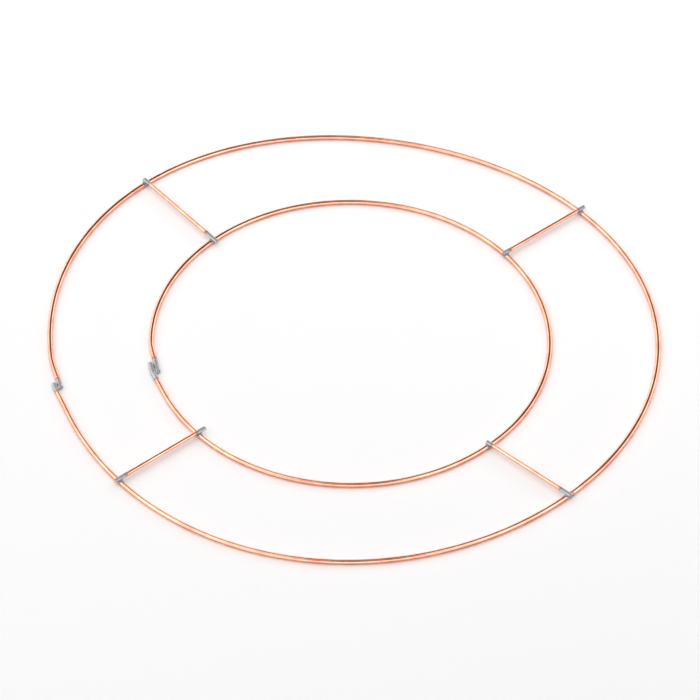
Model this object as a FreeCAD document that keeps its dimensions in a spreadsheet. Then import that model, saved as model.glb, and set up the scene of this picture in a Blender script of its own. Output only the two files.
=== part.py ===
import FreeCAD, Part
import Sketcher
import math
import os
from FreeCAD import Vector

# Flat wreath frame: two rings of round steel wire, one inside the other, lying in one plane, and
# four shorter wires laid across both of them. Every crossing and both ring laps are spot welded.
# Millimetres and degrees. +Z is up, +Y is the back, and the frame lies on z = 0 with the inner
# ring's centre over the origin. Angles go anticlockwise from +X.

doc = FreeCAD.newDocument("wreath_frame")
sheet = doc.addObject("Spreadsheet::Sheet", "sizes")

sizes = {
    "ring_wire": 2.5,        # diameter of the wire that both rings are bent from
    "spoke_wire": 2,         # diameter of the four cross wires
    "outer_overall": 305,    # outer ring across its outside, averaged over the bends below
    "inner_overall": 202.7,  # inner ring across its outside
    "oval": 2.29,            # how far the outer ring is pulled out into an oval
    "oval_at": -24.75,       # where the oval's long axis points
    "lobe": 2.2,             # how far it is pushed into a soft three-cornered shape
    "lobe_at": 11.72,        # where the first corner points
    "outer_lap": 3.7,        # overlap of the outer ring's two ends
    "outer_lap_at": 194.4,
    "inner_lap": 7,          # overlap of the inner ring's two ends
    "inner_lap_at": 191.8,
    "lap_gap": 0.05,         # slit left between two lapped ends outside the weld
    "end_bend": 25,          # radius of the small set bends that lead into a lap
    "end_bevel": 0.25,       # burr taken off a sheared end
    "set_down": 0.45,        # how far a cross wire sinks into a ring at a weld
    "flat_depth": 0.2,       # depth that the electrode presses into a cross wire
    "lap_flat": 0.12,        # the same, above and below a lap
    "weld_width": 2.7,       # lens of fused metal at a crossing
    "weld_height": 1.5,
    "lap_weld": 1.7,         # thickness of the fused bead along a lap
}

# Where each cross wire meets the rings, how far it runs on past both welds, and how far the
# electrode's flat reaches from each weld towards the middle of the wire.
spokes = {
    "back_left": {
        "outer_at": 132.1, "tail_out": 1.6, "flat_out": 2.7,
        "inner_at": 134.9, "tail_in": 3.3, "flat_in": 4.8,
    },
    "back_right": {
        "outer_at": 42.6, "tail_out": 3.1, "flat_out": 0.9,
        "inner_at": 38.0, "tail_in": 1.4, "flat_in": 5.8,
    },
    "front_right": {
        "outer_at": -46.7, "tail_out": 1.9, "flat_out": 4.2,
        "inner_at": -46.9, "tail_in": 1.5, "flat_in": 1.8,
    },
    "front_left": {
        "outer_at": -140.4, "tail_out": 2.4, "flat_out": 3.6,
        "inner_at": -138.5, "tail_in": 4.3, "flat_in": 1.2,
    },
}
for place, spoke in spokes.items():
    for name, value in spoke.items():
        sizes[f"{place}_{name}"] = value

for row, (alias, value) in enumerate(sizes.items(), start=1):
    sheet.set(f"A{row}", alias)
    sheet.set(f"B{row}", str(value))
    sheet.setAlias(f"B{row}", alias)
doc.recompute()


def size(name):
    return f"sizes.{name}"


ring_wire = size("ring_wire")
spoke_wire = size("spoke_wire")
outer_radius = f"({size('outer_overall')} - {ring_wire}) / 2"
inner_radius = f"({size('inner_overall')} - {ring_wire}) / 2"
lap_offset = f"({ring_wire} + {size('lap_gap')}) / 2"
spoke_height = f"{ring_wire} - {size('set_down')} + {spoke_wire} / 2"
weld_level = f"{ring_wire} - {size('set_down')} / 2"

# The outer ring's shape: an oval (2 waves around) and a three-cornered one (3 waves) are added to
# the circle. It is bent as 12 round stretches of equal turn, each with its own radius.
waves = {2: "oval", 3: "lobe"}
stretches = 12
turn = 360 / stretches


def phase(n, wave, angle):
    return f"{n} * ({angle} - {size(wave + '_at')})"


def outer_reach(angle):
    # distance from the centre to the outer ring's tangent line that faces this angle
    bulges = [f"{size(wave)} * cos({phase(n, wave, angle)})" for n, wave in waves.items()]
    return f"({outer_radius} + {' + '.join(bulges)})"


def outer_shift(angle):
    # how far along that tangent line the ring touches it
    slopes = [f"{n} * {size(wave)} * sin({phase(n, wave, angle)})" for n, wave in waves.items()]
    return f"(0 - {' - '.join(slopes)})"


def outer_bend(angle):
    # radius of the round stretch whose middle faces this angle
    terms = []
    for n, wave in waves.items():
        spread = math.radians(n * turn / 2) / math.sin(math.radians(n * turn / 2))
        factor = (n * n - 1) * spread
        terms.append(f"{factor} * {size(wave)} * cos({phase(n, wave, angle)})")
    return f"({outer_radius} - {' - '.join(terms)})"


def outer_point(angle):
    reach = outer_reach(angle)
    shift = outer_shift(angle)
    x = f"({reach} * cos({angle}) - {shift} * sin({angle}))"
    y = f"({reach} * sin({angle}) + {shift} * cos({angle}))"
    return x, y


def inner_bend(angle):
    return f"({inner_radius})"


def inner_point(angle):
    return f"({inner_radius} * cos({angle}))", f"({inner_radius} * sin({angle}))"


def new_body(label):
    body = doc.addObject("PartDesign::Body", label)
    body.Label = label
    return body


def new_sketch(body, name, role):
    sketch = body.newObject("Sketcher::SketchObject", name)
    plane = next(feature for feature in body.Origin.OriginFeatures if feature.Role == role)
    sketch.AttachmentSupport = (plane, [""])
    sketch.MapMode = "FlatFace"
    return sketch


def worked_out(sketch, expression):
    value = sketch.evalExpression(expression)
    return float(getattr(value, "Value", value))


def bind(sketch, kind, *where, expression):
    value = worked_out(sketch, expression)
    if kind == "Angle":
        value = math.radians(value)
    index = sketch.addConstraint(Sketcher.Constraint(kind, *where, value))
    sketch.setExpression(f"Constraints[{index}]", expression)


def fix(sketch, kind, *where):
    sketch.addConstraint(Sketcher.Constraint(kind, *where))


origin_point = (-1, 1)
x_axis = -1
y_axis = -2
start, end, centre = 1, 2, 3


def draw_circle(sketch, x, y, radius):
    middle = Vector(worked_out(sketch, x), worked_out(sketch, y), 0)
    circle = sketch.addGeometry(Part.Circle(middle, Vector(0, 0, 1), worked_out(sketch, radius)))
    bind(sketch, "DistanceX", *origin_point, circle, centre, expression=x)
    bind(sketch, "DistanceY", *origin_point, circle, centre, expression=y)
    bind(sketch, "Radius", circle, expression=radius)


def draw_rectangle(sketch, left, right, low, high):
    x1, x2, y1, y2 = [worked_out(sketch, edge) for edge in (left, right, low, high)]
    corners = [Vector(x1, y1, 0), Vector(x2, y1, 0), Vector(x2, y2, 0), Vector(x1, y2, 0)]
    sides = [sketch.addGeometry(Part.LineSegment(corners[i], corners[(i + 1) % 4])) for i in range(4)]
    for i, side in enumerate(sides):
        fix(sketch, "Coincident", side, end, sides[(i + 1) % 4], start)
        fix(sketch, "Vertical" if i % 2 else "Horizontal", side)
    bind(sketch, "DistanceX", *origin_point, sides[0], start, expression=left)
    bind(sketch, "DistanceY", *origin_point, sides[0], start, expression=low)
    bind(sketch, "DistanceX", *origin_point, sides[2], start, expression=right)
    bind(sketch, "DistanceY", *origin_point, sides[2], start, expression=high)


def heading(angle):
    return Vector(math.cos(math.radians(angle)), math.sin(math.radians(angle)), 0)


def draw_path(sketch, x, y, stretches_of_wire):
    # starts at (x, y) heading along +Y and turns left; each stretch is tangent to the one before
    point = Vector(worked_out(sketch, x), worked_out(sketch, y), 0)
    direction = 90
    for kind, length, sweep in stretches_of_wire:
        if kind == "line":
            after = point + heading(direction) * worked_out(sketch, length)
            piece = sketch.addGeometry(Part.LineSegment(point, after))
            bind(sketch, "Distance", piece, expression=length)
        else:
            radius = worked_out(sketch, length)
            turned = worked_out(sketch, sweep)
            middle = point - heading(direction - 90) * radius
            angles = [math.radians(direction - 90), math.radians(direction - 90 + turned)]
            circle = Part.Circle(middle, Vector(0, 0, 1), radius)
            piece = sketch.addGeometry(Part.ArcOfCircle(circle, *angles))
            direction += turned
            after = middle + heading(direction - 90) * radius
            bind(sketch, "Radius", piece, expression=length)
            bind(sketch, "Angle", piece, expression=sweep)
        if piece:
            fix(sketch, "Tangent", piece - 1, end, piece, start)
        point = after
    bind(sketch, "DistanceX", *origin_point, 0, start, expression=x)
    bind(sketch, "DistanceY", *origin_point, 0, start, expression=y)
    bind(sketch, "DistanceY", *origin_point, 0, centre, expression=y)


def set_bend(high, low):
    # a short bend and a straight that carry the wire from one radius in to a smaller one
    bend = size("end_bend")
    sweep = f"acos(({low} - {bend}) / ({high} - {bend}))"
    straight = f"sqrt(({high} - {bend})^2 - ({low} - {bend})^2)"
    return sweep, [("arc", bend, sweep), ("line", straight, None)]


# A ring is one wire bent round until its ends pass each other side by side in the ring's plane.
# It starts at the outside end of the lap and finishes at the inside end.
def make_ring(ring, bend, reach, shift):
    label = ring + "_ring"
    lap = size(ring + "_lap")
    lap_at = size(ring + "_lap_at")
    first = bend(lap_at)
    outside = f"({first} + {lap_offset})"
    inside = f"({first} - {lap_offset})"
    lap_turn = f"({lap} / {first} * 180 / pi * 1 deg)"
    start_at = f"({lap_at} - {lap} / {first} * 90 / pi)"
    x = f"{reach(start_at)} + {lap_offset}"
    y = shift(start_at)
    bend_in, lead_in = set_bend(outside, first)
    bend_out, lead_out = set_bend(first, inside)
    half_stretch = f"{turn / 2} * 1 deg - {lap_turn} / 2"
    route = [("arc", outside, lap_turn)] + lead_in
    route.append(("arc", first, f"{half_stretch} - {bend_in}"))
    for count in range(1, stretches):
        route.append(("arc", bend(f"({lap_at} + {turn * count})"), f"{turn} * 1 deg"))
    route.append(("arc", first, f"{half_stretch} - {bend_out}"))
    route += lead_out + [("arc", inside, lap_turn)]

    body = new_body(label + "_wire")
    body.setExpression("Placement.Rotation.Angle", f"{start_at} * 1 deg")
    path = new_sketch(body, label + "_path", "XY_Plane")
    path.setExpression("AttachmentOffset.Base.z", f"{ring_wire} / 2")
    draw_path(path, x, y, route)
    section = new_sketch(body, label + "_section", "XZ_Plane")
    section.setExpression("AttachmentOffset.Base.z", f"0 - {y}")
    draw_circle(section, x, f"{ring_wire} / 2", f"{ring_wire} / 2")
    doc.recompute()
    wire = body.newObject("PartDesign::AdditivePipe", label + "_bent")
    wire.Profile = section
    wire.Spine = (path, [f"Edge{i + 1}" for i in range(len(route))])
    doc.recompute()
    bevel_ends(body, wire, label)
    flats = new_sketch(body, label + "_lap_flats", "XZ_Plane")
    flats.setExpression("AttachmentOffset.Base.z", f"0 - {y}")
    under = ("0 - 1", size("lap_flat"))
    over = (f"{ring_wire} - {size('lap_flat')}", f"{ring_wire} + 1")
    for low, high in (under, over):
        draw_rectangle(flats, f"{x} - 2.5 * {ring_wire}", f"{x} + {ring_wire}", low, high)
    press(body, flats, label + "_lap_pressed", lap)
    return body


def bevel_ends(body, wire, label):
    faces = wire.Shape.Faces
    ends = [face for face in faces if isinstance(face.Surface, Part.Plane)]
    rims = []
    for i, edge in enumerate(wire.Shape.Edges, start=1):
        if any(edge.isSame(face.Edges[0]) for face in ends):
            rims.append(f"Edge{i}")
    bevel = body.newObject("PartDesign::Chamfer", label + "_sheared_ends")
    bevel.Base = (wire, rims)
    bevel.setExpression("Size", size("end_bevel"))
    doc.recompute()


def press(body, sketch, name, length=None):
    # squeezes a flat into the wire; with no length it goes right across, both ways
    before = body.Shape.Volume
    flat = body.newObject("PartDesign::Pocket", name)
    flat.Profile = sketch
    if length:
        flat.setExpression("Length", length)
    else:
        flat.Midplane = True
        flat.setExpression("Length", f"2 * {spoke_wire}")
    doc.recompute()
    if body.Shape.Volume >= before:
        raise RuntimeError(f"{name} cuts nothing")


# A cross wire lies on both rings. Its body's x axis runs outwards from the inner weld.
def make_spoke(place):
    def own(name):
        return size(f"{place}_{name}")

    inner_x, inner_y = inner_point(own("inner_at"))
    outer_x, outer_y = outer_point(own("outer_at"))
    span = f"hypot({outer_x} - {inner_x}; {outer_y} - {inner_y})"
    body = new_body(f"spoke_{place}_wire")
    body.setExpression("Placement.Base.x", inner_x)
    body.setExpression("Placement.Base.y", inner_y)
    body.setExpression("Placement.Base.z", spoke_height)
    turned = f"atan2({outer_y} - {inner_y}; {outer_x} - {inner_x})"
    body.setExpression("Placement.Rotation.Angle", turned)
    section = new_sketch(body, place + "_section", "YZ_Plane")
    section.setExpression("AttachmentOffset.Base.z", f"0 - {own('tail_in')}")
    draw_circle(section, "0", "0", f"{spoke_wire} / 2")
    doc.recompute()
    wire = body.newObject("PartDesign::Pad", place + "_cut_length")
    wire.Profile = section
    wire.setExpression("Length", f"{own('tail_in')} + {span} + {own('tail_out')}")
    doc.recompute()
    bevel_ends(body, wire, place)
    flats = new_sketch(body, place + "_flats", "XZ_Plane")
    low = f"{spoke_wire} / 2 - {size('flat_depth')}"
    past_inner = f"0 - {own('tail_in')} - 1"
    past_outer = f"{span} + {own('tail_out')} + 1"
    draw_rectangle(flats, past_inner, own("flat_in"), low, spoke_wire)
    draw_rectangle(flats, f"{span} - {own('flat_out')}", past_outer, low, spoke_wire)
    press(body, flats, place + "_pressed")
    return body


def revolve(body, sketch, name, axis):
    spin = body.newObject("PartDesign::Revolution", name)
    spin.Profile = sketch
    spin.ReferenceAxis = (sketch, [axis])
    spin.Angle = 360
    doc.recompute()


# The fused metal at a crossing is a thick lens, round from above, that bulges out between the wires.
def make_cross_weld(label, point):
    body = new_body(label)
    body.setExpression("Placement.Base.x", point[0])
    body.setExpression("Placement.Base.y", point[1])
    body.setExpression("Placement.Base.z", weld_level)
    lens = new_sketch(body, label + "_lens", "XZ_Plane")
    half_width = worked_out(lens, f"{size('weld_width')} / 2")
    half_height = worked_out(lens, f"{size('weld_height')} / 2")
    radius = (half_width ** 2 + half_height ** 2) / (2 * half_height)
    drop = radius - half_height
    rim = math.atan2(drop, half_width)
    up = Vector(0, 0, 1)
    upper = Part.ArcOfCircle(Part.Circle(Vector(0, -drop, 0), up, radius), rim, math.pi / 2)
    lower = Part.ArcOfCircle(Part.Circle(Vector(0, drop, 0), up, radius), -math.pi / 2, -rim)
    top = lens.addGeometry(upper)
    bottom = lens.addGeometry(lower)
    core = lens.addGeometry(Part.LineSegment(Vector(0, half_height, 0), Vector(0, -half_height, 0)))
    fix(lens, "Coincident", top, end, core, start)
    fix(lens, "Coincident", core, end, bottom, start)
    fix(lens, "Coincident", bottom, end, top, start)
    for curve in (top, bottom):
        fix(lens, "PointOnObject", curve, centre, y_axis)
    for tip in (start, end):
        fix(lens, "PointOnObject", core, tip, y_axis)
    fix(lens, "PointOnObject", top, start, x_axis)
    bind(lens, "DistanceX", *origin_point, top, start, expression=f"{size('weld_width')} / 2")
    bind(lens, "DistanceY", *origin_point, core, start, expression=f"{size('weld_height')} / 2")
    bind(lens, "DistanceY", core, end, *origin_point, expression=f"{size('weld_height')} / 2")
    doc.recompute()
    revolve(body, lens, label + "_fused", "V_Axis")
    return body


# The bead along a lap is a round-ended bar of fused metal buried between the two wire ends.
def make_lap_weld(ring, point):
    label = f"weld_{ring}_lap"
    lap = size(ring + "_lap")
    body = new_body(label)
    body.setExpression("Placement.Base.x", point[0])
    body.setExpression("Placement.Base.y", point[1])
    body.setExpression("Placement.Base.z", f"{ring_wire} / 2")
    body.setExpression("Placement.Rotation.Angle", f"({size(ring + '_lap_at')} + 90) * 1 deg")
    bead = new_sketch(body, label + "_bead", "XY_Plane")
    radius = worked_out(bead, f"{size('lap_weld')} / 2")
    reach = worked_out(bead, f"{lap} / 2")
    flat = reach - radius
    up = Vector(0, 0, 1)
    right_end = Part.Circle(Vector(flat, 0, 0), up, radius)
    left_end = Part.Circle(Vector(-flat, 0, 0), up, radius)
    right = bead.addGeometry(Part.ArcOfCircle(right_end, 0, math.pi / 2))
    crest = bead.addGeometry(Part.LineSegment(Vector(flat, radius, 0), Vector(-flat, radius, 0)))
    left = bead.addGeometry(Part.ArcOfCircle(left_end, math.pi / 2, math.pi))
    core = bead.addGeometry(Part.LineSegment(Vector(-reach, 0, 0), Vector(reach, 0, 0)))
    fix(bead, "Tangent", right, end, crest, start)
    fix(bead, "Tangent", crest, end, left, start)
    fix(bead, "Coincident", left, end, core, start)
    fix(bead, "Coincident", core, end, right, start)
    for curve in (left, right):
        fix(bead, "PointOnObject", curve, centre, x_axis)
    for tip in (start, end):
        fix(bead, "PointOnObject", core, tip, x_axis)
    fix(bead, "Equal", left, right)
    bind(bead, "Radius", right, expression=f"{size('lap_weld')} / 2")
    bind(bead, "DistanceX", *origin_point, core, end, expression=f"{lap} / 2")
    bind(bead, "DistanceX", core, start, *origin_point, expression=f"{lap} / 2")
    doc.recompute()
    revolve(body, bead, label + "_fused", "H_Axis")
    return body


# A finished wire is the bent or cut wire less the metal that has melted into its welds.
def seat(wire, welds, label):
    pool = doc.addObject("Part::Compound", label + "_melted")
    pool.Links = welds
    piece = doc.addObject("Part::Cut", label)
    piece.Label = label
    piece.Base = wire
    piece.Tool = pool
    return piece


weld_at = {}
for place in spokes:
    at_outer = outer_point(size(f"{place}_outer_at"))
    at_inner = inner_point(size(f"{place}_inner_at"))
    weld_at[f"outer_{place}"] = make_cross_weld(f"weld_outer_{place}", at_outer)
    weld_at[f"inner_{place}"] = make_cross_weld(f"weld_inner_{place}", at_inner)
weld_at["outer_lap"] = make_lap_weld("outer", outer_point(size("outer_lap_at")))
weld_at["inner_lap"] = make_lap_weld("inner", inner_point(size("inner_lap_at")))

outer_wire = make_ring("outer", outer_bend, outer_reach, outer_shift)
inner_wire = make_ring("inner", inner_bend, inner_bend, lambda angle: "0")

pieces = list(weld_at.values())
for ring, wire in (("outer", outer_wire), ("inner", inner_wire)):
    welds = [weld for name, weld in weld_at.items() if name.startswith(ring)]
    pieces.append(seat(wire, welds, ring + "_ring"))
for place in spokes:
    welds = [weld_at[f"outer_{place}"], weld_at[f"inner_{place}"]]
    pieces.append(seat(make_spoke(place), welds, f"spoke_{place}"))
doc.recompute()

for thing in doc.Objects:
    if "Invalid" in thing.State or "Error" in thing.State:
        raise RuntimeError(f"{thing.Label} failed: {thing.State}")

os.makedirs("parts", exist_ok=True)
for piece in pieces:
    shape = piece.Shape
    if shape.isNull() or not shape.isValid() or len(shape.Solids) != 1:
        raise RuntimeError(f"{piece.Label} has no single valid solid")
    shape.exportStep(f"parts/{piece.Label}.step")
    print(piece.Label, round(shape.Volume, 2), shape.BoundBox)
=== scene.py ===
import bpy
import math
from mathutils import Matrix, Vector


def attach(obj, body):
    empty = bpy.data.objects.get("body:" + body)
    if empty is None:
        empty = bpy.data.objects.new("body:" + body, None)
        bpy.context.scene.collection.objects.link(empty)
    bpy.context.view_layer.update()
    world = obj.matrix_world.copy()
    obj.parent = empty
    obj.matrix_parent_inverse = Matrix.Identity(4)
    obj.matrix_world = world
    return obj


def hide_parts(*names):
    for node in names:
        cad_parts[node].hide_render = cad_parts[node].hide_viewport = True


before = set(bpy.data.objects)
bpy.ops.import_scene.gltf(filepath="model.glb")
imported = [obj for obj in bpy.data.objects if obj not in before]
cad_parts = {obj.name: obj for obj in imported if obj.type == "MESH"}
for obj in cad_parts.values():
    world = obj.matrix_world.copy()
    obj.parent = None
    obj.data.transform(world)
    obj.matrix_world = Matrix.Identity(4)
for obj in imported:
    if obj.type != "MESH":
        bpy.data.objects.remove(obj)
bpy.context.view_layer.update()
print("stage: frame loaded")

# Two rings of copper-washed steel wire, four cross wires laid over them, and their ten spot welds.
mm = 0.001


def linear(hexColour):
    # a paint-chip sRGB hex turned into the linear light values that shaders use
    channels = [int(hexColour[i:i + 2], 16) / 255 for i in (1, 3, 5)]
    return [c / 12.92 if c <= 0.04045 else ((c + 0.055) / 1.055) ** 2.4 for c in channels] + [1.0]


def addNode(tree, kind, settings=None, links=None):
    # settings are the node's own properties; links go to its inputs, by name or place, as values or sockets
    node = tree.nodes.new(kind)
    for name, value in (settings or {}).items():
        setattr(node, name, value)
    usable = [socket for socket in node.inputs if socket.enabled]
    for name, value in (links or {}).items():
        socket = usable[name] if isinstance(name, int) else next(s for s in usable if s.name == name)
        if isinstance(value, bpy.types.NodeSocket):
            tree.links.new(value, socket)
        else:
            socket.default_value = value
    return node


def maths(tree, operation, *values, clamp=False):
    settings = {"operation": operation, "use_clamp": clamp}
    return addNode(tree, "ShaderNodeMath", settings, dict(enumerate(values))).outputs[0]


def vectorMaths(tree, operation, *values):
    node = addNode(tree, "ShaderNodeVectorMath", {"operation": operation}, dict(enumerate(values)))
    return node.outputs["Value" if operation == "DOT_PRODUCT" else "Vector"]


def scaled(tree, vector, factor):
    node = addNode(tree, "ShaderNodeVectorMath", {"operation": "SCALE"}, {"Vector": vector, "Scale": factor})
    return node.outputs["Vector"]


def named(tree, name, dataType="FLOAT"):
    node = addNode(tree, "GeometryNodeInputNamedAttribute", {"data_type": dataType}, {"Name": name})
    return node.outputs["Attribute"]


def upright(tree, height):
    return addNode(tree, "ShaderNodeCombineXYZ", links={"Z": height}).outputs[0]


def keep(tree, geometry, name, value, dataType="FLOAT"):
    settings = {"data_type": dataType, "domain": "POINT"}
    links = {"Geometry": geometry, "Name": name, "Value": value}
    return addNode(tree, "GeometryNodeStoreNamedAttribute", settings, links).outputs["Geometry"]


def newGroup(name, inputs):
    tree = bpy.data.node_groups.new(name, "GeometryNodeTree")
    tree.interface.new_socket("Geometry", in_out="INPUT", socket_type="NodeSocketGeometry")
    for socketName, kind in inputs.items():
        tree.interface.new_socket(socketName, in_out="INPUT", socket_type="NodeSocket" + kind)
    tree.interface.new_socket("Geometry", in_out="OUTPUT", socket_type="NodeSocketGeometry")
    return tree, tree.nodes.new("NodeGroupInput").outputs


def finishGroup(tree, geometry, material):
    whole = addNode(tree, "GeometryNodeRealizeInstances", links={"Geometry": geometry}).outputs["Geometry"]
    painted = addNode(tree, "GeometryNodeSetMaterial", links={"Geometry": whole, "Material": material})
    addNode(tree, "NodeGroupOutput", links={"Geometry": painted.outputs["Geometry"]})


def grow(name, startMesh, tree, values):
    # runs the node tree on the starting mesh and keeps only the mesh that comes out
    source = bpy.data.objects.new(name + "Source", startMesh)
    bpy.context.scene.collection.objects.link(source)
    modifier = source.modifiers.new("grow", "NODES")
    modifier.node_group = tree
    for item in tree.interface.items_tree:
        if item.in_out == "INPUT" and item.name in values:
            modifier[item.identifier] = values[item.name]
    evaluated = source.evaluated_get(bpy.context.evaluated_depsgraph_get())
    mesh = bpy.data.meshes.new_from_object(evaluated)
    mesh.name = name
    if mesh.materials[0] is None:
        mesh.materials.pop(index=0)   # left by a starting mesh that has no faces of its own
    mesh.polygons.foreach_set("material_index", [0] * len(mesh.polygons))
    bpy.data.objects.remove(source)
    piece = bpy.data.objects.new(name, mesh)
    bpy.context.scene.collection.objects.link(piece)
    return piece


copperWash = {
    "bright": "#F6B297",       # fresh copper wash
    "dull": "#E2937A",         # where it has browned with handling
    "mottleSize": 9,           # mm between bright and dull places
    "drawLineWidth": 0.11,     # mm; real die lines are finer, but would vanish at any viewing distance
    "drawLineLength": 14,      # mm
    "roughness": 0.15,
    "lineRoughness": 0.1,
    "lineDepth": 0.006,        # mm
    "scorched": "#B57C67",     # copper browned by the heat beside a weld
    "sooted": "#857976",       # grey-brown oxide where the copper has gone
    "bare": "#A7A6A8",         # bare steel, pressed and heated by the electrode
    "bareRoughness": 0.4,
    "bareMetallic": 0.75,      # a skin of grey oxide leaves it half matt
}

fusedSteel = {
    "scale": "#3F3B39",        # dark oxide left in the hollows
    "steel": "#8E8A87",        # frozen bright metal on the high places
    "grainSize": 0.35,         # mm
    "roughness": 0.38,
    "pitDepth": 0.05,          # mm
    "metallic": 0.9,
}


def newMaterial(name):
    material = bpy.data.materials.new(name)
    material.use_nodes = True
    tree = material.node_tree
    tree.nodes.clear()
    shader = addNode(tree, "ShaderNodeBsdfPrincipled")
    addNode(tree, "ShaderNodeOutputMaterial", links={"Surface": shader.outputs[0]})
    return material, tree, shader


def finishMaterial(tree, shader, sockets):
    for name, socket in sockets.items():
        tree.links.new(socket, shader.inputs[name])


def noise(tree, vector, scale, detail=3.0, roughness=0.5):
    links = {"Vector": vector, "Scale": scale, "Detail": detail, "Roughness": roughness}
    return addNode(tree, "ShaderNodeTexNoise", links=links).outputs["Fac"]


def ramp(tree, factor, stops):
    node = addNode(tree, "ShaderNodeValToRGB", links={"Fac": factor})
    elements = node.color_ramp.elements
    while len(elements) < len(stops):
        elements.new(0.5)
    for element, (place, colour) in zip(elements, stops):
        element.position = place
        element.color = colour
    return node.outputs["Color"]


def between(tree, factor, low, high, start=0.0, stop=1.0):
    # goes from low to high, and no further, while the factor goes from start to stop
    links = {"Value": factor, "From Min": start, "From Max": stop, "To Min": low, "To Max": high}
    return addNode(tree, "ShaderNodeMapRange", links=links).outputs["Result"]


def mixed(tree, kind, factor, first, second):
    node = addNode(tree, "ShaderNodeMix", {"data_type": kind})
    place, result = {"FLOAT": (2, 0), "RGBA": (6, 2)}[kind]   # the node keeps separate sockets for each kind
    tree.links.new(factor, node.inputs[0])
    for socket, value in ((node.inputs[place], first), (node.inputs[place + 1], second)):
        if isinstance(value, bpy.types.NodeSocket):
            tree.links.new(value, socket)
        else:
            socket.default_value = value
    return node.outputs[result]


def bumped(tree, height, depth):
    links = {"Height": height, "Distance": depth, "Strength": 1.0}
    return addNode(tree, "ShaderNodeBump", links=links).outputs["Normal"]


# Drawn steel wire with a bright copper wash: long fine die lines stretch each highlight along the wire,
# and near a weld the copper browns, soots and gives way to bare grey steel.
def makeCopperWash(look):
    material, tree, shader = newMaterial("steelWireCopperWashedDrawn")
    place = addNode(tree, "ShaderNodeTexCoord").outputs["Object"]
    grain = addNode(tree, "ShaderNodeAttribute", {"attribute_name": "grain"}).outputs["Vector"]
    heat = addNode(tree, "ShaderNodeAttribute", {"attribute_name": "scorch"}).outputs["Fac"]
    long, across = 1 / (look["drawLineLength"] * mm), 1 / (look["drawLineWidth"] * mm)
    stretched = vectorMaths(tree, "MULTIPLY", grain, (long, across, across))
    lines = noise(tree, stretched, 1.0, 4.0, 0.6)
    mottle = noise(tree, place, 1 / (look["mottleSize"] * mm), 4.0, 0.6)
    smudge = noise(tree, place, 9 / (look["mottleSize"] * mm), 3.0, 0.5)
    edge = maths(tree, "MULTIPLY", maths(tree, "SUBTRACT", smudge, 0.5), 0.5)
    warmed = maths(tree, "GREATER_THAN", heat, 0.001)
    ragged = maths(tree, "ADD", heat, maths(tree, "MULTIPLY", edge, warmed), clamp=True)
    wash = ramp(tree, mottle, [(0.3, linear(look["dull"])), (0.62, linear(look["bright"]))])
    heated = ramp(tree, ragged, [
        (0.12, linear(look["dull"])), (0.34, linear(look["scorched"])),
        (0.5, linear(look["sooted"])), (0.72, linear(look["bare"]))])
    gone = between(tree, ragged, 0.0, 1.0, 0.05, 0.3)
    lined = between(tree, lines, look["roughness"], look["roughness"] + look["lineRoughness"])
    colour = mixed(tree, "RGBA", gone, wash, heated)
    rough = mixed(tree, "FLOAT", gone, lined, look["bareRoughness"])
    metal = between(tree, gone, 1.0, look["bareMetallic"])
    normal = bumped(tree, lines, look["lineDepth"] * mm)
    sockets = {"Base Color": colour, "Roughness": rough, "Metallic": metal, "Normal": normal}
    finishMaterial(tree, shader, sockets)
    return material


# Steel that has melted and frozen again under the electrode: pitted, bright on its high places and dark
# in its hollows.
def makeFusedSteel(look):
    material, tree, shader = newMaterial("steelFusedSpotWeld")
    place = addNode(tree, "ShaderNodeTexCoord").outputs["Object"]
    grains = noise(tree, place, 1 / (look["grainSize"] * mm), 5.0, 0.65)
    colour = ramp(tree, grains, [(0.38, linear(look["scale"])), (0.6, linear(look["steel"]))])
    rough = between(tree, grains, look["roughness"] + 0.15, look["roughness"] - 0.05)
    normal = bumped(tree, grains, look["pitDepth"] * mm)
    finishMaterial(tree, shader, {"Base Color": colour, "Roughness": rough, "Normal": normal})
    shader.inputs["Metallic"].default_value = look["metallic"]
    return material


washedWire = makeCopperWash(copperWash)
fusedMetal = makeFusedSteel(fusedSteel)
print("stage: materials made")


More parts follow.
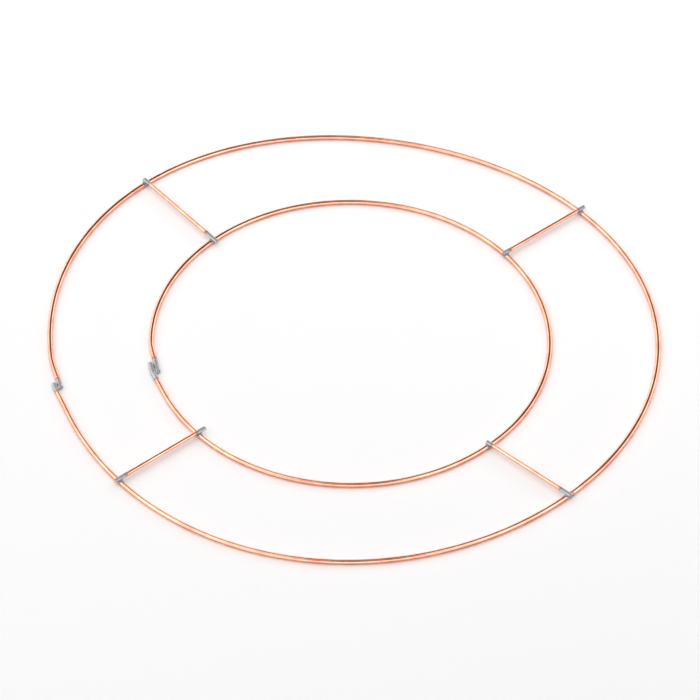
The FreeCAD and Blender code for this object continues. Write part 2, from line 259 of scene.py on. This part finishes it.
# Sweeps a round wire along a line of points, then presses, spreads and shears it as the line's own values
# say: "pressTop" and "pressUnder" where an electrode has squeezed it, "tip" at its cut ends, "girth" its
# thickness.
def makeWireTree():
    tree, given = newGroup("drawnWire", {
        "Diameter": "Float", "Sides": "Int", "Press Depth": "Float", "Spread": "Float",
        "Shear": "Float", "Waver": "Float", "Material": "Material"})
    position = addNode(tree, "GeometryNodeInputPosition").outputs[0]
    line = addNode(tree, "GeometryNodeMeshToCurve", links={"Mesh": given["Geometry"]}).outputs[0]
    line = keep(tree, line, "core", position, "FLOAT_VECTOR")
    line = keep(tree, line, "run", addNode(tree, "GeometryNodeInputTangent").outputs[0], "FLOAT_VECTOR")
    line = addNode(tree, "GeometryNodeSetCurveRadius", links={"Curve": line, "Radius": 1.0}).outputs[0]
    half = maths(tree, "MULTIPLY", given["Diameter"], 0.5)
    links = {"Resolution": given["Sides"], "Radius": half}
    ring = addNode(tree, "GeometryNodeCurvePrimitiveCircle", links=links)
    links = {"Curve": line, "Profile Curve": ring.outputs[0], "Scale": named(tree, "girth"), "Fill Caps": True}
    wire = addNode(tree, "GeometryNodeCurveToMesh", links=links).outputs[0]

    run = named(tree, "run", "FLOAT_VECTOR")
    core = named(tree, "core", "FLOAT_VECTOR")
    out = vectorMaths(tree, "SUBTRACT", position, core)
    side = vectorMaths(tree, "NORMALIZE", vectorMaths(tree, "CROSS_PRODUCT", run, (0.0, 0.0, 1.0)))
    across = vectorMaths(tree, "DOT_PRODUCT", out, side)
    height = addNode(tree, "ShaderNodeSeparateXYZ", links={0: out}).outputs["Z"]
    pressTop, pressUnder = named(tree, "pressTop"), named(tree, "pressUnder")
    roof = maths(tree, "SUBTRACT", half, maths(tree, "MULTIPLY", pressTop, given["Press Depth"]))
    ground = maths(tree, "SUBTRACT", maths(tree, "MULTIPLY", pressUnder, given["Press Depth"]), half)
    edge = maths(tree, "MULTIPLY", given["Diameter"], 0.02)   # rounds a flat over into the wire's side
    height = maths(tree, "SMOOTH_MIN", height, roof, edge)
    height = maths(tree, "SMOOTH_MAX", height, ground, edge)
    squeezed = maths(tree, "MULTIPLY", maths(tree, "MAXIMUM", pressTop, pressUnder), given["Spread"])
    across = maths(tree, "MULTIPLY", across, maths(tree, "ADD", squeezed, 1.0))
    sheared = maths(tree, "MULTIPLY", maths(tree, "MULTIPLY", across, named(tree, "tip")), given["Shear"])
    ripple = maths(tree, "SUBTRACT", noise(tree, position, 180.0, 2.0), 0.5)
    swell = maths(tree, "ADD", maths(tree, "MULTIPLY", ripple, given["Waver"]), 1.0)
    links = {"X": named(tree, "along"), "Y": across, "Z": height}
    grain = addNode(tree, "ShaderNodeCombineXYZ", links=links).outputs[0]
    wire = keep(tree, wire, "grain", grain, "FLOAT_VECTOR")
    flesh = vectorMaths(tree, "ADD", scaled(tree, side, across), upright(tree, height))
    swollen = vectorMaths(tree, "ADD", core, scaled(tree, flesh, swell))
    placed = vectorMaths(tree, "ADD", swollen, scaled(tree, run, sheared))
    wire = addNode(tree, "GeometryNodeSetPosition", links={"Geometry": wire, "Position": placed}).outputs[0]
    corners = addNode(tree, "GeometryNodeInputMeshFaceNeighbors").outputs["Vertex Count"]
    sides = maths(tree, "LESS_THAN", corners, 5.0)   # all but the two cut ends
    links = {"Geometry": wire, "Shade Smooth": sides}
    wire = addNode(tree, "GeometryNodeSetShadeSmooth", links=links).outputs[0]
    finishGroup(tree, wire, given["Material"])
    return tree


wireTree = makeWireTree()


def ease(value):
    value = min(max(value, 0), 1)
    return value * value * (3 - 2 * value)


def zone(distance, reach, fade):
    # 1 inside the reach, easing to 0 over the fade
    return 1 - ease((distance - reach) / fade)


def wireLine(name, points, marks):
    # marks are the pressed, heated and cut places along the wire, as functions of the length run
    mesh = bpy.data.meshes.new(name + "Line")
    mesh.from_pydata(points, [(i, i + 1) for i in range(len(points) - 1)], [])
    run = [0]
    for before, after in zip(points, points[1:]):
        run.append(run[-1] + (Vector(after) - Vector(before)).length)
    values = {"along": lambda s: s, **marks(run[-1])}
    for attribute, rule in values.items():
        layer = mesh.attributes.new(attribute, "FLOAT", "POINT")
        layer.data.foreach_set("value", [rule(s) for s in run])
    return mesh


def endGirth(s, whole, burr):
    # the sheared ends are slightly rounded over
    near = min(s, whole - s)
    return 1 - 0.16 * (1 - min(near / burr, 1)) ** 2


def tipSide(s, whole, length):
    # 1 at the wire's start and -1 at its end, fading to 0 over the length
    return max(0, 1 - s / length) - max(0, 1 - (whole - s) / length)


def spaced(total, step, ends):
    # even steps along a wire, with close ones at both cut ends
    count = int(total / step)
    places = [total * i / count for i in range(count + 1)]
    close = [ends * i / 5 for i in range(1, 5)]
    return sorted(set(places + close + [total - c for c in close]))


rings = {
    "wire": 2.5 * mm,
    "outerRadius": 151.25 * mm,
    "innerRadius": 100.1 * mm,
    "outerLap": {"at": 192.9, "length": 3.7 * mm, "grey": (3.8 * mm, 4.2 * mm), "shear": -0.5},
    "innerLap": {"at": 191.8, "length": 7 * mm, "grey": (8.1 * mm, 6.1 * mm), "shear": -0.55},
    "lapHalfGap": 1.22 * mm,   # each end stands this far from the ring's own line
    "outerWaves": [(2, 2.29 * mm, -24.75), (3, 2.2 * mm, 11.72)],   # waves around, size, where a crest points
    "innerWaves": [],
    "height": 1.25 * mm,
    "step": 0.9 * mm,
    "greyFade": 4.8 * mm,      # from bare steel back to copper at a lap
    # how far each goes, and how far it then takes to fade out
    "weldGrey": (0.2 * mm, 1.5 * mm),    # grey beside a cross wire
    "weldPress": (0.8 * mm, 1.2 * mm),   # flat left underneath a cross wire
    "lapPress": (0.3 * mm, 1.2 * mm),    # flats, on past a lap
    "pressDepth": 0.2 * mm,
    "burr": 0.3 * mm,          # how far back a cut end is rounded over
    "tip": 0.31 * mm,          # and how far back the shear leans it
    "sides": 24,
    "spread": 0.06,            # how much wider a pressed place gets, as a share
    "waver": 0.015,
}


def ringRadius(base, waves, angle):
    return base + sum(size * math.cos(n * math.radians(angle - crest)) for n, size, crest in waves)


def onGround(distance, angle):
    return Vector((distance * math.cos(math.radians(angle)), distance * math.sin(math.radians(angle)), 0))


def ringPoints(look, base, waves, lap):
    # once round from the outside end of the lap to the inside end
    overlap = math.degrees(lap["length"] / base)
    start, sweep = lap["at"] - overlap / 2, 360 + overlap
    lead = math.sqrt(2 * base * look["lapHalfGap"])
    points = []
    whole = math.radians(sweep) * base
    for s in spaced(whole, look["step"], look["burr"]):
        angle = start + math.degrees(s / base)
        left = whole - s
        outward = look["lapHalfGap"] * (1 - min(max(s - lap["length"], 0) / lead, 1)) ** 2
        inward = look["lapHalfGap"] * (1 - ease(max(left - lap["length"], 0) / lead))
        radius = ringRadius(base, waves, angle) + outward - inward
        points.append((*onGround(radius, angle).xy, look["height"]))
    return points


def ringMarks(look, base, lap, weldAngles):
    overlap = math.degrees(lap["length"] / base)
    start = lap["at"] - overlap / 2

    def rules(whole):
        def lapHeat(s):
            # the two ends of the wire greyed to different lengths
            fromMiddles = abs(s - lap["length"] / 2), abs(whole - lap["length"] / 2 - s)
            fade = look["greyFade"]
            return max(zone(far, grey - fade / 2, fade) for far, grey in zip(fromMiddles, lap["grey"]))

        def weldNear(s):
            angle = start + math.degrees(s / base)
            return min(abs((angle - w + 180) % 360 - 180) for w in weldAngles) * math.radians(1) * base

        def pressed(s):
            past, fade = look["lapPress"]
            return zone(min(s, whole - s), lap["length"] + past, fade)

        return {
            "scorch": lambda s: max(lapHeat(s), zone(weldNear(s), *look["weldGrey"])),
            "pressTop": pressed,
            "pressUnder": lambda s: max(pressed(s), 0.5 * zone(weldNear(s), *look["weldPress"])),
            "tip": lambda s: tipSide(s, whole, look["tip"]),
            "girth": lambda s: endGirth(s, whole, look["burr"]),
        }
    return rules


crossWires = {
    "wire": 2 * mm,
    "height": 3.05 * mm,
    "step": 0.5 * mm,
    "greyInset": 2.4 * mm,     # the grey is full until this far short of its reach, then fades to copper
    "greyFade": 5.4 * mm,
    "pressDepth": 0.26 * mm,
    "pressFade": 1.2 * mm,
    "burr": 0.25 * mm,
    "tip": 0.26 * mm,
    "sides": 24,
    "spread": 0.1,
    "shear": 0.25,
    "waver": 0.02,
    # where each crosses the outer ring (mm out, angle) and the inner ring (angle), its overhangs past the
    # two (mm), and how far the grey reaches from each weld towards the middle (mm)
    "backLeft": {"outer": (155.26, 133.1), "inner": 134.9, "tails": (1.5, 3.4), "grey": (2.7, 4.8)},
    "backRight": {"outer": (150.3, 38.5), "inner": 38.0, "tails": (3.1, 1.3), "grey": (0.8, 2.2)},
    "frontRight": {"outer": (150.9, -45.1), "inner": -46.9, "tails": (1.9, 1.4), "grey": (4.2, 1.8)},
    "frontLeft": {"outer": (149.6, -139.0), "inner": -138.5, "tails": (2.4, 4.3), "grey": (3.6, 1.0)},
}
places = ["backLeft", "backRight", "frontRight", "frontLeft"]


def spokeEnds(place):
    cross = crossWires[place]
    outer = onGround(cross["outer"][0] * mm, cross["outer"][1])
    inner = onGround(rings["innerRadius"], cross["inner"])
    return outer, inner


def growWire(name, line, look, shear):
    return grow(name, line, wireTree, {
        "Diameter": look["wire"], "Sides": look["sides"], "Press Depth": look["pressDepth"],
        "Spread": look["spread"], "Shear": shear, "Waver": look["waver"], "Material": washedWire})


def makeSpoke(place):
    cross = crossWires[place]
    outer, inner = spokeEnds(place)
    way = (outer - inner).normalized()
    tailOut, tailIn = [tail * mm for tail in cross["tails"]]
    greyOut, greyIn = [grey * mm for grey in cross["grey"]]
    start = inner - way * tailIn + Vector((0, 0, crossWires["height"]))
    whole = (outer - inner).length + tailOut + tailIn
    points = [tuple(start + way * s) for s in spaced(whole, crossWires["step"], crossWires["burr"])]

    def rules(total):
        def near(s, inset, fade):
            return max(zone(s, tailIn + greyIn - inset, fade), zone(total - s, tailOut + greyOut - inset, fade))

        return {
            "scorch": lambda s: near(s, crossWires["greyInset"], crossWires["greyFade"]),
            "pressTop": lambda s: near(s, 0, crossWires["pressFade"]),
            "pressUnder": lambda s: 0,
            "tip": lambda s: tipSide(s, total, crossWires["tip"]),
            "girth": lambda s: endGirth(s, total, crossWires["burr"]),
        }

    name = "spoke" + place[0].upper() + place[1:]
    return growWire(name, wireLine(name, points, rules), crossWires, crossWires["shear"])


def makeRing(ring, weldAngles):
    base, waves, lap = [rings[ring + part] for part in ("Radius", "Waves", "Lap")]
    name = ring + "Ring"
    line = wireLine(name, ringPoints(rings, base, waves, lap), ringMarks(rings, base, lap, weldAngles))
    return growWire(name, line, rings, lap["shear"])


pieces = {}
pieces["outer_ring"] = makeRing("outer", [crossWires[place]["outer"][1] for place in places])
pieces["inner_ring"] = makeRing("inner", [crossWires[place]["inner"] for place in places])
print("stage: rings bent")
nodeNames = {
    "backLeft": "back_left", "backRight": "back_right",
    "frontRight": "front_right", "frontLeft": "front_left",
}
for place in places:
    pieces["spoke_" + nodeNames[place]] = makeSpoke(place)
print("stage: cross wires laid")


welds = {
    "crossWidth": 3.1 * mm,
    "crossHeight": 1.7 * mm,
    "lapWidth": 2.0 * mm,
    "lapHeight": 2.14 * mm,
    "lumps": 0.16,             # share of the weld's own size
    "flash": 0.2 * mm,         # thin fin thrown out along the joint
    "spatter": 0.22 * mm,      # largest frozen droplet
    "smallest": 0.25,          # smallest droplet, as a share of the largest
    "dropletDensity": 900000.0,   # in a square metre: about 20 droplets at a crossing, 30 along a lap
    "lumpScale": 3.2,          # higher makes smaller lumps
    "ragScale": 6.0,           # the same for the fin's torn edge
    "finSharpness": 90.0,      # higher makes a thinner fin
    "level": 2.275 * mm,
    "lapOverrun": 0.4 * mm,    # a lap's bead is this much longer than the lap
}


# Frozen metal squeezed out of a joint: a lumpy swelling with a thin fin at mid height and small frozen
# droplets on it.
def makeWeldTree():
    tree, given = newGroup("fusedJoint", {
        "Size": "Vector", "Place": "Vector", "Turn": "Float", "Lumps": "Float", "Flash": "Float",
        "Droplet": "Float", "Seed": "Int", "Material": "Material"})
    ball = addNode(tree, "GeometryNodeMeshIcoSphere", links={"Radius": 0.5, "Subdivisions": 5}).outputs["Mesh"]
    position = addNode(tree, "GeometryNodeInputPosition").outputs[0]
    apart = maths(tree, "MULTIPLY", given["Seed"], 7.3)   # moves each weld to its own part of the noise
    shift = addNode(tree, "ShaderNodeCombineXYZ", links={"X": apart}).outputs[0]
    spot = vectorMaths(tree, "ADD", position, shift)
    bump = maths(tree, "SUBTRACT", noise(tree, spot, welds["lumpScale"], 3.0), 0.45)
    lump = maths(tree, "MULTIPLY", bump, given["Lumps"])
    swell = maths(tree, "ADD", maths(tree, "MULTIPLY", lump, 2.0), 1.0)
    body = vectorMaths(tree, "MULTIPLY", scaled(tree, position, swell), given["Size"])
    level = addNode(tree, "ShaderNodeSeparateXYZ", links={0: position}).outputs["Z"]
    slope = maths(tree, "MULTIPLY", maths(tree, "MULTIPLY", level, level), -welds["finSharpness"])
    rag = maths(tree, "SUBTRACT", noise(tree, spot, welds["ragScale"], 4.0), 0.35)
    torn = maths(tree, "MULTIPLY", maths(tree, "EXPONENT", slope), rag)
    flat = vectorMaths(tree, "NORMALIZE", vectorMaths(tree, "MULTIPLY", position, (1.0, 1.0, 0.0)))
    thrown = maths(tree, "MULTIPLY", given["Flash"], 3.0)
    fin = scaled(tree, flat, maths(tree, "MULTIPLY", maths(tree, "MAXIMUM", torn, 0.0), thrown))
    shaped = vectorMaths(tree, "ADD", body, fin)
    ball = addNode(tree, "GeometryNodeSetPosition", links={"Geometry": ball, "Position": shaped}).outputs[0]
    links = {"Mesh": ball, "Density": welds["dropletDensity"], "Seed": given["Seed"]}
    spots = addNode(tree, "GeometryNodeDistributePointsOnFaces", links=links).outputs["Points"]
    drop = addNode(tree, "GeometryNodeMeshIcoSphere", links={"Radius": 0.5, "Subdivisions": 2}).outputs["Mesh"]
    least = maths(tree, "MULTIPLY", given["Droplet"], welds["smallest"])
    links = {"Min": least, "Max": given["Droplet"], "Seed": given["Seed"]}
    across = addNode(tree, "FunctionNodeRandomValue", {"data_type": "FLOAT"}, links).outputs[1]
    links = {"Points": spots, "Instance": drop, "Scale": across}
    drops = addNode(tree, "GeometryNodeInstanceOnPoints", links=links).outputs[0]
    joined = addNode(tree, "GeometryNodeJoinGeometry")
    tree.links.new(ball, joined.inputs[0])
    tree.links.new(drops, joined.inputs[0])
    whole = addNode(tree, "GeometryNodeRealizeInstances", links={"Geometry": joined.outputs[0]}).outputs[0]
    links = {"Axis": (0.0, 0.0, 1.0), "Angle": given["Turn"]}
    turned = addNode(tree, "FunctionNodeAxisAngleToRotation", links=links)
    links = {"Geometry": whole, "Translation": given["Place"], "Rotation": turned.outputs[0]}
    moved = addNode(tree, "GeometryNodeTransform", links=links).outputs[0]
    links = {"Geometry": moved, "Shade Smooth": True}
    smooth = addNode(tree, "GeometryNodeSetShadeSmooth", links=links).outputs[0]
    finishGroup(tree, smooth, given["Material"])
    return tree


weldTree = makeWeldTree()


def makeWeld(name, place, turn, size, flash, seed):
    return grow(name, bpy.data.meshes.new(name + "Start"), weldTree, {
        "Size": size, "Place": tuple(place), "Turn": turn, "Lumps": welds["lumps"], "Flash": flash,
        "Droplet": welds["spatter"], "Seed": seed, "Material": fusedMetal})


crossSize = (welds["crossWidth"], welds["crossWidth"], welds["crossHeight"])
for seed, place in enumerate(places, start=1):
    outer, inner = spokeEnds(place)
    for ring, centre in (("outer", outer), ("inner", inner)):
        name = "weld" + ring.capitalize() + place[0].upper() + place[1:]
        centre.z = welds["level"]
        turn = math.atan2(centre.y, centre.x)
        piece = makeWeld(name, centre, turn, crossSize, welds["flash"], seed + (10 if ring == "inner" else 0))
        pieces[f"weld_{ring}_{nodeNames[place]}"] = piece
for ring in ("outer", "inner"):
    lap = rings[ring + "Lap"]
    radius = ringRadius(rings[ring + "Radius"], rings[ring + "Waves"], lap["at"])
    centre = onGround(radius, lap["at"])
    centre.z = rings["height"]
    size = (lap["length"] + welds["lapOverrun"], welds["lapWidth"], welds["lapHeight"])
    turn = math.radians(lap["at"] + 90)
    piece = makeWeld(f"weld{ring.capitalize()}Lap", centre, turn, size, 0.0, 30 + len(pieces))
    pieces[f"weld_{ring}_lap"] = piece
print("stage: welds frozen")

for node, piece in pieces.items():
    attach(piece, "root")
    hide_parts(node)
print("stage: pieces fitted")


studio = {
    "floor": "#F8F7F7",
    "fibre": "#F4F3F3",
    "floorAcross": 6.0,
    "floorRoughness": 0.85,
    # the fill and the key light the paper but are not seen in the wire; the two cards are only seen in it
    "lamps": {
        "overheadFill": {
            "place": (-0.33, 0.12, 1.2), "aim": (0, 0, 0), "across": (3.4, 3.4), "power": 51.3,
            "hidden": "glossy"},
        "keySoftbox": {
            "place": (0.6, 0.62, 0.42), "aim": (0, 0, 0), "across": (0.5, 0.3), "power": 2.1,
            "hidden": "glossy"},
        "nearCard": {
            "place": (-0.05, -0.83, 0.62), "aim": (0, -0.1, 0), "across": (0.9, 0.5), "power": 0.8,
            "hidden": "diffuse"},
        "rightCard": {
            "place": (0.53, -0.34, 0.42), "aim": (0.5, -0.3, 0), "across": (0.56, 0.62), "power": 2.4,
            "hidden": "diffuse"},
    },
    "roomLow": 2.6,            # pale walls near the table's level
    "roomHigh": 0.08,          # and the dim room above them
    "roomFade": (0.3, 0.62),   # heights, from 0 level to 1 overhead, between which the one turns into the other
    # soft panels seen in the wire: where each hangs, how bright it is, and how many degrees from its
    # middle it stays even and then fades out
    "panels": [
        {"way": (-0.7, 0.0, 0.71), "strength": 2.6, "spread": (18, 48)},
        {"way": (0.0, 0.1, 0.99), "strength": 0.6, "spread": (4, 30)},
    ],
}


# White paper with a trace of fibre, so that it doesn't look like a blank surface.
def makeFloor(look):
    material, tree, shader = newMaterial("paperSeamlessWhite")
    place = addNode(tree, "ShaderNodeTexCoord").outputs["Object"]
    fibre = noise(tree, place, 900.0, 3.0)
    tint = ramp(tree, fibre, [(0.0, linear(look["fibre"])), (1.0, linear(look["floor"]))])
    tree.links.new(tint, shader.inputs["Base Color"])
    shader.inputs["Roughness"].default_value = look["floorRoughness"]
    half = look["floorAcross"] / 2
    corners = [(-half, -half, 0), (half, -half, 0), (half, half, 0), (-half, half, 0)]
    mesh = bpy.data.meshes.new("paperFloor")
    mesh.from_pydata(corners, [], [(0, 1, 2, 3)])
    floor = bpy.data.objects.new("paperFloor", mesh)
    floor.data.materials.append(material)
    bpy.context.scene.collection.objects.link(floor)


def makeLamp(name, look):
    data = bpy.data.lights.new(name, "AREA")
    data.shape = "RECTANGLE"
    data.size, data.size_y = look["across"]
    data.energy = look["power"]
    lamp = bpy.data.objects.new(name, data)
    lamp.location = look["place"]
    lamp.rotation_euler = (Vector(look["aim"]) - lamp.location).to_track_quat("-Z", "Y").to_euler()
    setattr(lamp, "visible_" + look["hidden"], False)
    bpy.context.scene.collection.objects.link(lamp)


def makeRoom(look):
    # bright low walls under a dim room, with the panels hung in it
    world = bpy.data.worlds.new("studioRoom")
    bpy.context.scene.world = world
    world.use_nodes = True
    tree = world.node_tree
    way = addNode(tree, "ShaderNodeTexCoord").outputs["Generated"]
    height = addNode(tree, "ShaderNodeSeparateXYZ", links={0: way}).outputs["Z"]
    strength = between(tree, height, look["roomLow"], look["roomHigh"], *look["roomFade"])
    for panel in look["panels"]:
        towards = vectorMaths(tree, "DOT_PRODUCT", way, panel["way"])
        inner, outer = [math.cos(math.radians(angle)) for angle in panel["spread"]]
        glow = between(tree, towards, 0.0, panel["strength"], outer, inner)
        strength = maths(tree, "MAXIMUM", strength, glow)
    background = tree.nodes["Background"]
    tree.links.new(strength, background.inputs["Strength"])
    background.inputs["Color"].default_value = (1, 1, 1, 1)
    world.cycles_visibility.diffuse = False   # only the lamps light the paper


makeFloor(studio)
for name, lamp in studio["lamps"].items():
    makeLamp(name, lamp)
makeRoom(studio)
print("stage: studio lit")


# degrees, metres, and millimetres for the lens
view = {
    "elevation": 45.34,
    "roll": 0.27,
    "distance": 2.7225,
    "lens": 278.7,
    "slide": (-0.000262, -0.005144),   # sideways and upwards
    "aim": (0, 0, 0.00125),
}


def makeCamera(look):
    tilt, roll = math.radians(look["elevation"]), math.radians(look["roll"])
    back = Vector((0, -math.cos(tilt), math.sin(tilt)))
    right = Vector((1, 0, 0))
    up = back.cross(right)
    turnedRight = math.cos(roll) * right + math.sin(roll) * up
    turnedUp = math.cos(roll) * up - math.sin(roll) * right
    sideways, upwards = look["slide"]
    place = Vector(look["aim"]) + back * look["distance"] + turnedRight * sideways + turnedUp * upwards
    data = bpy.data.cameras.new("studioCamera")
    data.lens = look["lens"]
    data.sensor_width = 36
    data.clip_end = 20
    camera = bpy.data.objects.new("studioCamera", data)
    axes = Matrix((turnedRight, turnedUp, back)).transposed().to_4x4()
    camera.matrix_world = Matrix.Translation(place) @ axes
    bpy.context.scene.collection.objects.link(camera)
    bpy.context.scene.camera = camera


makeCamera(view)
bpy.context.scene.view_settings.view_transform = "Standard"
print("stage: camera set")
